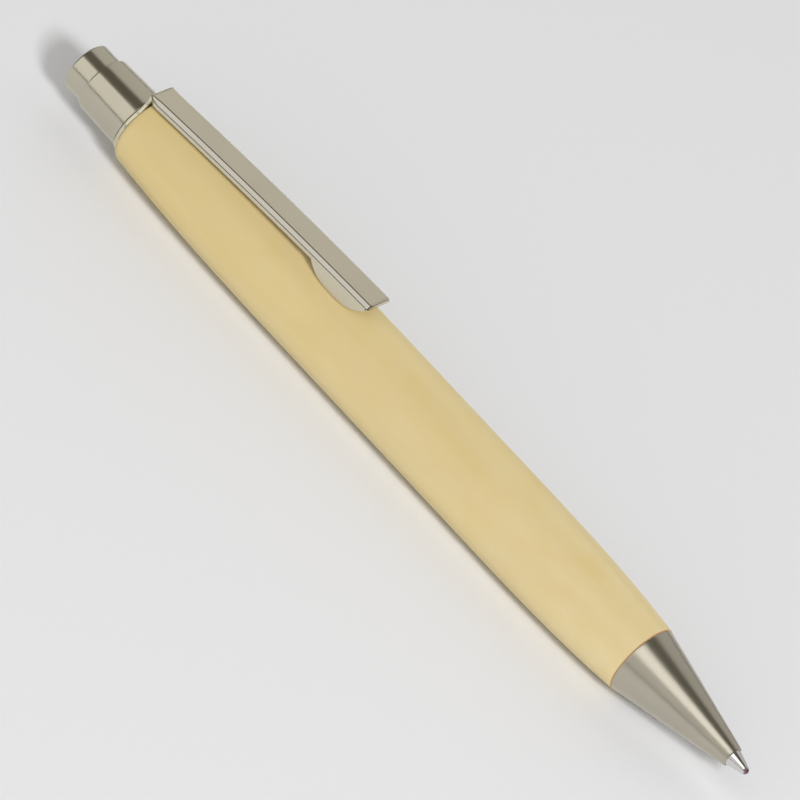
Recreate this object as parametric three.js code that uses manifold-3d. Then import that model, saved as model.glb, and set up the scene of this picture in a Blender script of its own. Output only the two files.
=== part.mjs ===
// Click ballpoint pen with a turned wooden barrel, a metal nose cone and a sprung clip.
// Millimetres. The pen lies along X with its point towards +X, and its clip faces +Z.
// The origin is on the barrel's lowest facet, at the middle of the stretch that has one radius.

import * as THREE from 'three';
import { mergeVertices } from 'three/addons/utils/BufferGeometryUtils.js';
import Module from 'manifold-3d';

const manifold = await Module();
manifold.setup();

// Facets of the turned pieces
const outerSides = 24;
const innerSides = 24;
const camSides = 32;
const ballSides = 16;
const ballRings = 10;

// Distances below which points count as the same
const mergeDistance = 1e-5;
const sameStation = 1e-4;

// Fits
const glueGap = 0.04;
const pressGap = 0.03;
const slideGap = 0.06;
const threadGap = 0.04;
const seatGap = 0.05;
const restGap = 0.3;
const refillGap = 0.1;
const pinEndGap = 0.15;

// Wooden barrel: a parallel middle with a taper to each end. Its length follows from the refill.
const barrelRadius = 6.57;
const barrelRearTaper = 36;
const barrelFrontTaper = 28.35;
const barrelRearRadius = 5.5;
const barrelFrontRadius = 5.55;
const barrelRearPower = 2.6;
const barrelFrontPower = 2.85;
const barrelShoulderLength = 1.2;
const barrelShoulderDrop = 0.58;
const barrelLip = 0.15;
const shoulderSteps = 3;

// Places of the rings along each taper, closer together where the wood curves more
const taperShares = [0.35, 0.55, 0.7, 0.82, 0.92, 1];

// Brass liner in the barrel
const linerOuterRadius = 4.45;
const linerWall = 0.35;
const linerRecess = 0.1;

// Nose cone, screwed into the front bush
const coneLength = 18.5;
const coneBaseRadius = 5.5;
const coneNoseRadius = 1.6;
const coneEdge = 0.12;
const spigotRadius = 3.56;
const spigotLength = 7;
const springSeatFromNose = 8;
const springBoreLength = 7.5;
const springBoreRadius = 2.75;
const frontBushLength = 8.8;
const frontBushRecess = 0.1;

// Refill: plug, tube, neck, point and ball
const tipReach = 3;
const refillRadius = 3;
const refillWall = 0.3;
const refillLength = 98.5;
const refillInset = 27.45;
const plugCollarLength = 2;
const plugSpigotLength = 4;
const plugNotchWidth = 0.8;
const plugNotchDepth = 0.8;
const neckFlangeLength = 0.6;
const neckRadius = 1.9;
const neckLength = 7.8;
const neckFromSpringSeat = 1.1;
const neckSpigotLength = 4;
const neckBoreRadius = 0.6;
const pointRadius = 1.37;
const pointTailRadius = 0.95;
const pointTailLength = 5.3;
const pointConeLength = 2.6;
const pointLipRadius = 0.6;
const ballRadius = 0.5;
const ballClearance = 0.03;
const ballProud = 0.35;
const inkBoreRadius = 0.25;

// Return spring, round the refill's neck
const springWire = 0.4;
const springMeanRadius = 2.3;
const springTurns = 8;
const springStepsPerTurn = 8;
const springWireSides = 5;

// Clip: a ring under the sleeve, a neck, a bowed bar with chamfered edges, and a foot
const ringRadius = 4.9;
const ringThickness = 0.55;
const clipTopWidth = 3.8;
const clipChamfer = 0.55;
const clipThickness = 1.2;
const clipRearHeight = 7.3;
const clipFrontHeight = 9.77;
const clipLength = 44.95;
const clipBow = 0.28;
const clipBendRadius = 0.6;
const clipInnerRadius = 0.3;
const clipSplitGap = 0.15;
const footLength = 11.4;
const footRearSlope = 2.2;
const footBottomFromFront = 6.3;
const footFrontSlope = 3.5;
const footHeight = 5.9;
const clipSteps = 10;
const clipCurveSteps = 5;
const clipRootDepth = 1;

// Button sleeve and push button
const sleeveLength = 8.32;
const sleeveRearRadius = 4.35;
const sleeveFrontRadius = 4.65;
const sleeveEdge = 0.25;
const sleeveShoulder = 0.65;
const buttonReach = 3.63;
const buttonRadius = 3.9;
const buttonLength = 9.4;
const buttonWall = 0.45;
const buttonEndWall = 0.8;
const buttonEdge = 0.25;
const buttonEdgeSteps = 2;
const bossRadius = 2.1;
const bossRecess = 0.4;

// Rear bush: holds the click mechanism in the liner
const rearBushLength = 8.5;
const rearBushFlange = 0.6;
const rearBushProud = 0.1;

// Click mechanism
const housingRadius = 3.4;
const housingWall = 0.5;
const housingFromRefill = 0.45;
const housingFlangeRadius = 3.8;
const housingFlangeLength = 0.6;
const guideRibs = 4;
const guideInnerRadius = 2.45;
const guideStart = 4.6;
const guideWidthDegrees = 30;
const guideSteps = 6;
const latchFromRefill = 10;
const clickTravel = 5.5;
const stemRadius = 1.46;
const crownRadius = 2.35;
const crownLength = 5.65;
const camTeeth = 8;
const camToothDepth = 0.8;
const camToothGap = 0.35;
const finRadius = 2.8;
const finWidthDegrees = 20;
const finLength = 4;
const finSteps = 2;
const rotorRibWidthDegrees = 15;
const rotorRibLength = 4.5;
const rotorRibSteps = 3;
const ribRoot = 0.15;
const rotorCollarLength = 5;
const rotorBodyRadius = 2;
const rotorPinRadius = 0.92;
const rotorPinLength = 4;
const latchGap = 0.15;

// Stations along X
const barrelLength = refillInset - rearBushProud + refillLength - tipReach - coneLength;
const barrelParallelLength = barrelLength - barrelRearTaper - barrelFrontTaper;
const barrelRear = -barrelRearTaper - barrelParallelLength / 2;
const barrelFront = barrelRear + barrelLength;
const ringFront = barrelRear - rearBushProud;
const ringRear = ringFront - ringThickness;
const clipSplit = ringFront + clipInnerRadius;
const sleeveRear = ringRear - sleeveLength;
const buttonRear = sleeveRear - buttonReach;
const coneNose = barrelFront + coneLength;
const tipEnd = coneNose + tipReach;
const refillRear = tipEnd - refillLength;
const tubeRear = refillRear + plugCollarLength;
const springSeat = coneNose - springSeatFromNose;
const neckFront = springSeat - neckFromSpringSeat;
const neckShoulder = neckFront - neckLength;
const tubeFront = neckShoulder - neckFlangeLength;
const housingRear = ringRear - sleeveShoulder - housingFlangeLength;
const housingFront = refillRear - clickTravel - housingFromRefill;
const latchStation = refillRear - latchFromRefill;
const crownTips = latchStation - camToothGap - camToothDepth - seatGap;
const crownRear = crownTips - camToothDepth - crownLength;
const axisHeight = barrelRadius;

// Radii that follow from the fits
const linerInnerRadius = linerOuterRadius - linerWall;
const bushRadius = linerInnerRadius - pressGap;
const refillBoreRadius = refillRadius + refillGap;
const refillInnerRadius = refillRadius - refillWall;
const pointBoreRadius = pointRadius + slideGap;
const housingBoreRadius = housingRadius - housingWall;
const clipWidth = clipTopWidth + 2 * clipChamfer;

// The rotor turns from over a guide rib to the middle of a groove in one click
const clickTurn = Math.PI / guideRibs;
const turnPerMillimetre = clickTurn / clickTravel;
const rotorRibHalf = THREE.MathUtils.degToRad(rotorRibWidthDegrees) / 2;

const finishes = {
  satinMetal: new THREE.MeshStandardMaterial({ color: 0xb4ad9a, roughness: 0.35, metalness: 1 }),
  polishedMetal: new THREE.MeshStandardMaterial({ color: 0xd8d6cf, roughness: 0.12, metalness: 1 }),
  brass: new THREE.MeshStandardMaterial({ color: 0xc9a24e, roughness: 0.4, metalness: 1 }),
  steel: new THREE.MeshStandardMaterial({ color: 0xa9abad, roughness: 0.4, metalness: 1 }),
  wood: new THREE.MeshStandardMaterial({ color: 0xdcc38f, roughness: 0.55, metalness: 0 }),
  whitePlastic: new THREE.MeshStandardMaterial({ color: 0xe9e7e0, roughness: 0.5, metalness: 0 }),
  blackPlastic: new THREE.MeshStandardMaterial({ color: 0x2b2b2d, roughness: 0.5, metalness: 0 })
};

const model = new THREE.Group();
model.position.z = axisHeight;

function addPiece(name, geometry, material) {
  const mesh = new THREE.Mesh(geometry, material);
  mesh.name = name;
  model.add(mesh);
}

// A turned piece from its section, given as pairs of station along X and radius across flats.
// A facet faces straight down, and radii of all turned pieces compare facet by facet.
function turned(section, sides = outerSides) {
  const outward = 1 / Math.cos(Math.PI / sides);
  const points = section.map(([station, radius]) => new THREE.Vector2(radius * outward, station));
  const geometry = new THREE.LatheGeometry(points, sides, Math.PI / sides);
  geometry.rotateZ(-Math.PI / 2);
  return geometry;
}

// Closes a section on itself, for a piece with a hole through it
function ringSection(section) {
  return [...section, section[0]];
}

// Points of a quarter ellipse from one section point to another, leaving along X first or last
function roundedEdge(from, to, steps, alongFirst) {
  const points = [];
  for (let i = 0; i <= steps; i++) {
    const angle = (i / steps) * Math.PI / 2;
    const along = alongFirst ? Math.sin(angle) : 1 - Math.cos(angle);
    const across = alongFirst ? 1 - Math.cos(angle) : Math.sin(angle);
    points.push([from[0] + (to[0] - from[0]) * along, from[1] + (to[1] - from[1]) * across]);
  }
  return points;
}

// Merged triangles without the empty ones that a turned piece has on its axis
function welded(geometry) {
  const bare = geometry.clone();
  bare.deleteAttribute('normal');
  bare.deleteAttribute('uv');
  const merged = mergeVertices(bare, mergeDistance);
  const kept = [];
  for (let i = 0; i < merged.index.count; i += 3) {
    const [a, b, c] = [0, 1, 2].map((corner) => merged.index.getX(i + corner));
    if (a !== b && b !== c && c !== a) kept.push(a, b, c);
  }
  merged.setIndex(kept);
  return merged;
}

function toSolid(geometry) {
  const mesh = welded(geometry);
  return new manifold.Manifold(new manifold.Mesh({
    numProp: 3,
    vertProperties: new Float32Array(mesh.attributes.position.array),
    triVerts: new Uint32Array(mesh.index.array)
  }));
}

function toGeometry(solid) {
  const mesh = solid.getMesh();
  const geometry = new THREE.BufferGeometry();
  geometry.setAttribute('position', new THREE.BufferAttribute(mesh.vertProperties, 3));
  geometry.setIndex(new THREE.BufferAttribute(mesh.triVerts, 1));
  geometry.computeVertexNormals();
  return geometry;
}

// An annular sector between two stations. Its angle is counted about +X from +Y towards +Z.
function sector(innerRadius, outerRadius, centre, width, start, end, steps) {
  const shape = new THREE.Shape();
  shape.absarc(0, 0, outerRadius, centre - width / 2, centre + width / 2, false);
  shape.absarc(0, 0, innerRadius, centre + width / 2, centre - width / 2, true);
  const geometry = new THREE.ExtrudeGeometry(shape, {
    depth: end - start,
    bevelEnabled: false,
    curveSegments: steps
  });
  const alongX = new THREE.Matrix4().makeBasis(
    new THREE.Vector3(0, 1, 0),
    new THREE.Vector3(0, 0, 1),
    new THREE.Vector3(1, 0, 0)
  );
  geometry.applyMatrix4(alongX);
  geometry.translate(start, 0, 0);
  return geometry;
}

// Moves the vertices of one end face along X by an amount that depends on their angle
function shapeEnd(geometry, station, shift) {
  const position = geometry.attributes.position;
  for (let i = 0; i < position.count; i++) {
    if (Math.abs(position.getX(i) - station) > sameStation) continue;
    const angle = Math.atan2(position.getZ(i), position.getY(i));
    position.setX(i, station + shift(angle));
  }
  return geometry;
}

// Angle from a rib's centre, between minus and plus half a rib spacing
function angleInRib(angle) {
  const spacing = 2 * Math.PI / guideRibs;
  return angle - spacing * Math.round(angle / spacing);
}

// The latch ramp: further back where the rotor has turned on
function latchRamp(angle) {
  return -(angleInRib(angle) + rotorRibHalf) / turnPerMillimetre;
}

// Height of the saw teeth at an angle: each rises over three facets and drops over one
function sawTooth(angle) {
  const facet = Math.round(angle / (2 * Math.PI / camSides) - 0.5);
  const facetsPerTooth = camSides / camTeeth;
  const place = ((facet % facetsPerTooth) + facetsPerTooth) % facetsPerTooth;
  return camToothDepth * place / (facetsPerTooth - 1);
}

function barrelRadiusAt(distance) {
  if (distance < barrelRearTaper) {
    const share = (barrelRearTaper - distance) / barrelRearTaper;
    return barrelRadius - (barrelRadius - barrelRearRadius) * share ** barrelRearPower;
  }
  const fromFront = barrelLength - distance;
  if (fromFront < barrelFrontTaper) {
    const share = (barrelFrontTaper - fromFront) / barrelFrontTaper;
    return barrelRadius - (barrelRadius - barrelFrontRadius) * share ** barrelFrontPower;
  }
  return barrelRadius;
}

function woodenBarrel() {
  const boreRadius = linerOuterRadius + glueGap;
  const shoulder = [barrelRear + barrelShoulderLength, barrelRadiusAt(barrelShoulderLength)];
  const section = roundedEdge([barrelRear, shoulder[1] - barrelShoulderDrop], shoulder, shoulderSteps, false);
  const rearShares = [...taperShares].reverse().slice(1);
  for (const share of [...rearShares, 0]) {
    const distance = barrelRearTaper - (barrelRearTaper - barrelShoulderLength) * share;
    section.push([barrelRear + distance, barrelRadiusAt(distance)]);
  }
  for (const share of [0, ...taperShares]) {
    const distance = barrelLength - barrelFrontTaper + (barrelFrontTaper - barrelLip) * share;
    section.push([barrelRear + distance, barrelRadiusAt(distance)]);
  }
  section.push([barrelFront, barrelRadiusAt(barrelLength) - barrelLip]);
  section.push([barrelFront, boreRadius], [barrelRear, boreRadius]);
  return turned(ringSection(section));
}

function linerTube() {
  const rear = barrelRear + rearBushFlange - rearBushProud;
  const front = barrelFront - linerRecess;
  return turned(ringSection([
    [rear, linerOuterRadius],
    [front, linerOuterRadius],
    [front, linerInnerRadius],
    [rear, linerInnerRadius]
  ]));
}

function frontBush() {
  const front = barrelFront - frontBushRecess;
  const rear = front - frontBushLength;
  const boreRadius = spigotRadius + threadGap;
  return turned(ringSection([[rear, bushRadius], [front, bushRadius], [front, boreRadius], [rear, boreRadius]]));
}

function rearBush() {
  const boreRadius = housingRadius + threadGap;
  const flangeFront = ringFront + rearBushFlange;
  return turned(ringSection([
    [ringFront, linerOuterRadius],
    [flangeFront, linerOuterRadius],
    [flangeFront, bushRadius],
    [ringFront + rearBushLength, bushRadius],
    [ringFront + rearBushLength, boreRadius],
    [ringFront, boreRadius]
  ]));
}

function noseCone() {
  const spigotRear = barrelFront - spigotLength;
  const springBoreRear = springSeat - springBoreLength;
  const slope = (coneBaseRadius - coneNoseRadius) / coneLength;
  return turned(ringSection([
    [barrelFront, coneBaseRadius - coneEdge],
    [barrelFront + coneEdge, coneBaseRadius],
    [coneNose - coneEdge, coneNoseRadius + slope * coneEdge],
    [coneNose, coneNoseRadius - coneEdge],
    [coneNose, pointBoreRadius],
    [springSeat, pointBoreRadius],
    [springSeat, springBoreRadius],
    [springBoreRear, springBoreRadius],
    [springBoreRear, refillBoreRadius],
    [spigotRear, refillBoreRadius],
    [spigotRear, spigotRadius],
    [barrelFront, spigotRadius]
  ]));
}

function returnSpring() {
  const rear = neckShoulder + springWire / 2 + seatGap;
  const front = springSeat - springWire / 2 - seatGap;
  class Helix extends THREE.Curve {
    getPoint(t, target = new THREE.Vector3()) {
      const angle = 2 * Math.PI * springTurns * t;
      return target.set(
        rear + (front - rear) * t,
        springMeanRadius * Math.cos(angle),
        springMeanRadius * Math.sin(angle)
      );
    }
  }
  const wire = new THREE.Shape();
  wire.absarc(0, 0, springWire / 2, 0, 2 * Math.PI, false);
  const pitch = (front - rear) / springTurns;
  console.log(`return spring: least gap between turns ${(pitch - springWire).toFixed(2)} mm`);
  return new THREE.ExtrudeGeometry(wire, {
    steps: springTurns * springStepsPerTurn,
    curveSegments: springWireSides,
    extrudePath: new Helix()
  });
}

function refillPlug() {
  const spigotRadiusOfPlug = refillInnerRadius - pressGap;
  const body = toSolid(turned([
    [refillRear, 0],
    [refillRear, refillRadius],
    [tubeRear, refillRadius],
    [tubeRear, spigotRadiusOfPlug],
    [tubeRear + plugSpigotLength, spigotRadiusOfPlug],
    [tubeRear + plugSpigotLength, 0]
  ], innerSides));
  const notch = new THREE.BoxGeometry(2 * plugNotchDepth, 3 * refillRadius, plugNotchWidth);
  notch.translate(refillRear, 0, 0);
  const crossNotch = notch.clone().rotateX(Math.PI / 2);
  return toGeometry(body.subtract(toSolid(notch)).subtract(toSolid(crossNotch)));
}

function refillTube() {
  return turned(ringSection([
    [tubeRear, refillRadius],
    [tubeFront, refillRadius],
    [tubeFront, refillInnerRadius],
    [tubeRear, refillInnerRadius]
  ]), innerSides);
}

function refillNeck() {
  const spigotRear = tubeFront - neckSpigotLength;
  const spigotRadiusOfNeck = refillInnerRadius - pressGap;
  const socketRadius = pointTailRadius + pressGap;
  const socketBottom = neckFront - pointTailLength - seatGap;
  return turned(ringSection([
    [spigotRear, spigotRadiusOfNeck],
    [tubeFront, spigotRadiusOfNeck],
    [tubeFront, refillRadius],
    [neckShoulder, refillRadius],
    [neckShoulder, neckRadius],
    [neckFront, neckRadius],
    [neckFront, socketRadius],
    [socketBottom, socketRadius],
    [socketBottom, neckBoreRadius],
    [spigotRear, neckBoreRadius]
  ]), innerSides);
}

function tipPoint() {
  const lip = tipEnd - ballProud;
  const ballCentre = tipEnd - ballRadius;
  const socketRadius = ballRadius + ballClearance;
  const lipInner = Math.sqrt(ballRadius ** 2 - (lip - ballCentre) ** 2) + ballClearance;
  const tailRear = neckFront - pointTailLength;
  return turned(ringSection([
    [tailRear, pointTailRadius],
    [neckFront, pointTailRadius],
    [neckFront, pointRadius],
    [lip - pointConeLength, pointRadius],
    [lip, pointLipRadius],
    [lip, lipInner],
    [ballCentre, socketRadius],
    [ballCentre - socketRadius, socketRadius],
    [ballCentre - socketRadius, inkBoreRadius],
    [tailRear, inkBoreRadius]
  ]), innerSides);
}

function writingBall() {
  const ball = new THREE.SphereGeometry(ballRadius, ballSides, ballRings);
  ball.translate(tipEnd - ballRadius, 0, 0);
  return ball;
}

function buttonSleeve() {
  const boreRadius = buttonRadius + slideGap;
  const shoulderRear = ringRear - sleeveShoulder;
  const shoulderRadius = housingRadius + threadGap;
  return turned(ringSection([
    [sleeveRear, sleeveRearRadius - sleeveEdge],
    [sleeveRear + sleeveEdge, sleeveRearRadius],
    [ringRear, sleeveFrontRadius],
    [ringRear, shoulderRadius],
    [shoulderRear, shoulderRadius],
    [shoulderRear, boreRadius],
    [sleeveRear, boreRadius]
  ]));
}

function pushButton() {
  const front = buttonRear + buttonLength;
  const endWall = buttonRear + buttonEndWall;
  const bossFront = front - bossRecess;
  const bossBore = stemRadius + pressGap;
  const cupRadius = buttonRadius - buttonWall;
  const rim = [buttonRear, buttonRadius - buttonEdge];
  return turned([
    [buttonRear, 0],
    ...roundedEdge(rim, [buttonRear + buttonEdge, buttonRadius], buttonEdgeSteps, false),
    [front, buttonRadius],
    [front, cupRadius],
    [endWall, cupRadius],
    [endWall, bossRadius],
    [bossFront, bossRadius],
    [bossFront, bossBore],
    [endWall, bossBore],
    [endWall, 0]
  ]);
}

function plunger() {
  const stemRear = buttonRear + buttonEndWall + seatGap;
  const toothRoot = crownTips - camToothDepth;
  const boreRadius = rotorPinRadius + slideGap;
  const boreBottom = latchStation - rotorPinLength - pinEndGap;
  const core = turned([
    [stemRear, 0],
    [stemRear, stemRadius],
    [crownRear, stemRadius],
    [crownRear, crownRadius],
    [toothRoot, crownRadius],
    [toothRoot, boreRadius],
    [boreBottom, boreRadius],
    [boreBottom, 0]
  ], camSides);
  let solid = toSolid(shapeEnd(core, toothRoot, sawTooth));
  const finFront = crownRear + finLength;
  for (let i = 0; i < guideRibs; i++) {
    const centre = (i + 0.5) * 2 * Math.PI / guideRibs;
    const width = THREE.MathUtils.degToRad(finWidthDegrees);
    const fin = sector(crownRadius - ribRoot, finRadius, centre, width, crownRear, finFront, finSteps);
    solid = solid.add(toSolid(fin));
  }
  return toGeometry(solid);
}

function rotor() {
  const pinRear = latchStation - rotorPinLength;
  const toothRoot = latchStation - seatGap;
  const collarFront = latchStation + rotorCollarLength;
  const front = refillRear - seatGap;
  const core = turned([
    [pinRear, 0],
    [pinRear, rotorPinRadius],
    [toothRoot, rotorPinRadius],
    [toothRoot, crownRadius],
    [collarFront, crownRadius],
    [collarFront, rotorBodyRadius],
    [front, rotorBodyRadius],
    [front, 0]
  ], camSides);
  let solid = toSolid(shapeEnd(core, toothRoot, (angle) => -sawTooth(angle)));
  const ribFront = latchStation + rotorRibLength;
  const crownRoom = toSolid(turned([
    [crownTips - camToothDepth, 0],
    [crownTips - camToothDepth, crownRadius + slideGap],
    [toothRoot - camToothDepth, crownRadius + slideGap],
    [toothRoot - camToothDepth, 0]
  ], camSides));
  for (let i = 0; i < guideRibs; i++) {
    const centre = i * 2 * Math.PI / guideRibs;
    const start = latchStation + latchGap;
    const inner = crownRadius - ribRoot;
    const rib = sector(inner, finRadius, centre, 2 * rotorRibHalf, start, ribFront, rotorRibSteps);
    solid = solid.add(toSolid(shapeEnd(rib, start, latchRamp)).subtract(crownRoom));
  }
  return toGeometry(solid);
}

function camHousing() {
  const flangeFront = housingRear + housingFlangeLength;
  let solid = toSolid(turned(ringSection([
    [housingRear, housingFlangeRadius],
    [flangeFront, housingFlangeRadius],
    [flangeFront, housingRadius],
    [housingFront, housingRadius],
    [housingFront, housingBoreRadius],
    [flangeFront, housingBoreRadius],
    [flangeFront, stemRadius + 2 * slideGap],
    [housingRear, stemRadius + 2 * slideGap]
  ])));
  for (let i = 0; i < guideRibs; i++) {
    const centre = i * 2 * Math.PI / guideRibs;
    const width = THREE.MathUtils.degToRad(guideWidthDegrees);
    const outerRadius = (housingBoreRadius + housingRadius) / 2;
    const start = housingRear + guideStart;
    const rib = sector(guideInnerRadius, outerRadius, centre, width, start, latchStation, guideSteps);
    solid = solid.add(toSolid(shapeEnd(rib, latchStation, latchRamp)));
  }
  return toGeometry(solid);
}

// A plate cut to a side view in X and Z, as wide as the clip
function clipPlate(shape) {
  const plate = new THREE.ExtrudeGeometry(shape, {
    depth: clipWidth,
    bevelEnabled: false,
    curveSegments: clipCurveSteps
  });
  plate.rotateX(Math.PI / 2);
  plate.translate(0, clipWidth / 2, 0);
  return plate;
}

function clipRing() {
  const holeRadius = housingRadius + threadGap;
  const ring = toSolid(turned(ringSection([
    [ringRear, ringRadius],
    [ringFront, ringRadius],
    [ringFront, holeRadius],
    [ringRear, holeRadius]
  ])));
  const bendEnd = ringRear + clipBendRadius;
  const under = clipRearHeight - clipThickness;
  const side = new THREE.Shape();
  side.moveTo(ringRear, ringRadius - clipRootDepth);
  side.lineTo(ringFront, ringRadius - clipRootDepth);
  side.lineTo(ringFront, under - clipInnerRadius);
  side.absarc(clipSplit, under - clipInnerRadius, clipInnerRadius, Math.PI, Math.PI / 2, true);
  side.lineTo(clipSplit, clipRearHeight);
  side.absarc(bendEnd, clipRearHeight - clipBendRadius, clipBendRadius, Math.PI / 2, Math.PI, false);
  return toGeometry(ring.add(toSolid(clipPlate(side))));
}

function clipBar() {
  const rear = clipSplit + clipSplitGap;
  const front = ringRear + clipLength;
  const path = new THREE.QuadraticBezierCurve3(
    new THREE.Vector3(rear, 0, clipRearHeight),
    new THREE.Vector3((rear + front) / 2, 0, (clipRearHeight + clipFrontHeight) / 2 + 2 * clipBow),
    new THREE.Vector3(front, 0, clipFrontHeight)
  );
  const half = clipTopWidth / 2;
  const section = new THREE.Shape();
  section.moveTo(-half, 0);
  section.lineTo(half, 0);
  section.lineTo(half + clipChamfer, clipChamfer);
  section.lineTo(half + clipChamfer, clipThickness);
  section.lineTo(-half - clipChamfer, clipThickness);
  section.lineTo(-half - clipChamfer, clipChamfer);
  const bar = toSolid(new THREE.ExtrudeGeometry(section, { steps: clipSteps, extrudePath: path }));

  const bottom = front - footBottomFromFront;
  const footTop = clipFrontHeight - clipThickness / 2;
  const side = new THREE.Shape();
  side.moveTo(front - footLength, footTop - clipThickness / 2);
  side.quadraticCurveTo(front - footLength + footRearSlope, footHeight, bottom, footHeight);
  side.quadraticCurveTo(front - footFrontSlope, footHeight, front, clipFrontHeight - clipThickness);
  side.lineTo(front, footTop);
  const foot = toSolid(clipPlate(side));

  const clearance = toSolid(turned([
    [front - clipLength / 2, 0],
    [front - clipLength / 2, barrelRadius + restGap],
    [front + clipThickness, barrelRadius + restGap],
    [front + clipThickness, 0]
  ]));
  return toGeometry(bar.add(foot).subtract(clearance));
}

addPiece('wooden_barrel', woodenBarrel(), finishes.wood);
addPiece('liner_tube', linerTube(), finishes.brass);
addPiece('front_bush', frontBush(), finishes.brass);
addPiece('rear_bush', rearBush(), finishes.brass);
addPiece('nose_cone', noseCone(), finishes.satinMetal);
addPiece('return_spring', returnSpring(), finishes.steel);
addPiece('refill_plug', refillPlug(), finishes.blackPlastic);
addPiece('refill_tube', refillTube(), finishes.steel);
addPiece('refill_neck', refillNeck(), finishes.steel);
addPiece('tip_point', tipPoint(), finishes.polishedMetal);
addPiece('writing_ball', writingBall(), finishes.polishedMetal);
addPiece('button_sleeve', buttonSleeve(), finishes.satinMetal);
addPiece('push_button', pushButton(), finishes.satinMetal);
addPiece('plunger', plunger(), finishes.whitePlastic);
addPiece('rotor', rotor(), finishes.whitePlastic);
addPiece('cam_housing', camHousing(), finishes.brass);
addPiece('clip_ring', clipRing(), finishes.satinMetal);
addPiece('clip_bar', clipBar(), finishes.satinMetal);

export default model;
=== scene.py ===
"""A click ballpoint pen: a turned wooden barrel, a metal nose cone, a button in a sleeve and a clip."""

import math

import bmesh
import bpy
from mathutils import Matrix, Vector


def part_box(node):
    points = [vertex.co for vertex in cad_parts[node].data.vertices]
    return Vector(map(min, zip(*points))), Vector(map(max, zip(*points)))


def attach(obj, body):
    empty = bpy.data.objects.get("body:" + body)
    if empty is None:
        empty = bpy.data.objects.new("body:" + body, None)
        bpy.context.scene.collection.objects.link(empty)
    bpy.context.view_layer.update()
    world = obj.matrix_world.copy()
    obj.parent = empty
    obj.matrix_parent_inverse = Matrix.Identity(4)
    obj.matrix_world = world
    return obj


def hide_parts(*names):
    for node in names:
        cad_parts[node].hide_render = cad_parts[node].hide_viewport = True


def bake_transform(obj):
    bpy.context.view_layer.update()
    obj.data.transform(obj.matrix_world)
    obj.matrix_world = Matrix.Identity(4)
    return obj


bl_info = {
    "name": "Wooden Ballpoint Pen",
    "version": (1, 0, 0),
    "blender": (4, 5, 0),
    "location": "View3D > Sidebar > Pen",
    "description": "Dresses a click ballpoint pen with a turned wooden barrel",
    "category": "Add Mesh",
}

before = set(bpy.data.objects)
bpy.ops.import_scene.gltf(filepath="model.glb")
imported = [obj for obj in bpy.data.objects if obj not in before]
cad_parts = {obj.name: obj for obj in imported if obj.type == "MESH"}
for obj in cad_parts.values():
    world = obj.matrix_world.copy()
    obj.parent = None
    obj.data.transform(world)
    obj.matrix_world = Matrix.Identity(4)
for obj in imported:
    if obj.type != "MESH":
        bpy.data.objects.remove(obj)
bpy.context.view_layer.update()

MM = 0.001
ROUND_STEPS = 128
SMALL_STEPS = 64
SHARP_ANGLE = math.radians(32)
GUARD_MARGIN = 0.45 * MM
MERGE_DISTANCE = 1e-8

# Stations and sizes that the frame gives
barrel_low, barrel_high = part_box("wooden_barrel")
cone_low, cone_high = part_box("nose_cone")
sleeve_low, sleeve_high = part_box("button_sleeve")
button_low, button_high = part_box("push_button")
point_low, point_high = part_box("tip_point")
ball_low, ball_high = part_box("writing_ball")
ring_low, ring_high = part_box("clip_ring")
bar_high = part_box("clip_bar")[1]
liner_low, liner_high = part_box("liner_tube")
spring_low, spring_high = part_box("return_spring")

AXIS_HEIGHT = (button_low.z + button_high.z) / 2
BARREL_LENGTH = barrel_high.x - barrel_low.x
BARREL_RADIUS = AXIS_HEIGHT - barrel_low.z
GLUE_GAP = 0.04 * MM
BORE_RADIUS = (liner_high.z - liner_low.z) / 2 + GLUE_GAP
RING_GAP = 0.1 * MM
RING_FRONT = barrel_low.x - RING_GAP
RING_REAR = ring_low.x

# Radius of the hole through the clip's ring and through the sleeve's shoulder
HOLE_RADIUS = 3.44 * MM

# Length of the clip's rear end over which it bends when it flexes
FLEX_LENGTH = 4 * MM

# Powers that shape the barrel's tapers: a higher one narrows later
REAR_CURVE = 2.6
FRONT_CURVE = 2.85

# The clip's finishes, by their slots on its mesh; the last slot is painted shade, dark strips beside the
# cut edges
FLAT, CUT_EDGE, EDGE_SHADE_PAINT = 0, 1, 2

# Lights that only glossy surfaces show: lean and height in degrees, length and width in metres, radiance
GLOSSY_DISTANCE = 0.9
GLOSSY_PANELS = {
    "key_panel": (11, 59, (0.58, 0.60), 1.5),
    "front_panel": (11, 20.8, (0.58, 0.475), 0.58),
    "side_panel": (-26, 32.0, (0.62, 0.80), 0.84),
    "side_panel_edge": (-26, 59.5, (0.62, 0.11), 0.42),
    "back_panel_rear": (-30, 139, (0.60, 1.10), 0.48),
    "back_panel_front": (8, 146, (0.62, 0.90), 0.44),
}

# Lights that only matt surfaces show, in the same order
MATT_DISTANCE = 2.0
MATT_PANELS = {
    "shadow_panel": (38, 56, (0.36, 0.36), 56.5),
    "side_fill": (0, 40, (4.0, 2.6), 0.80),
    "low_fill": (0, 11, (4.0, 0.62), 0.4),
    "back_fill": (0, 137, (4.0, 2.6), 0.47),
}


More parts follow.
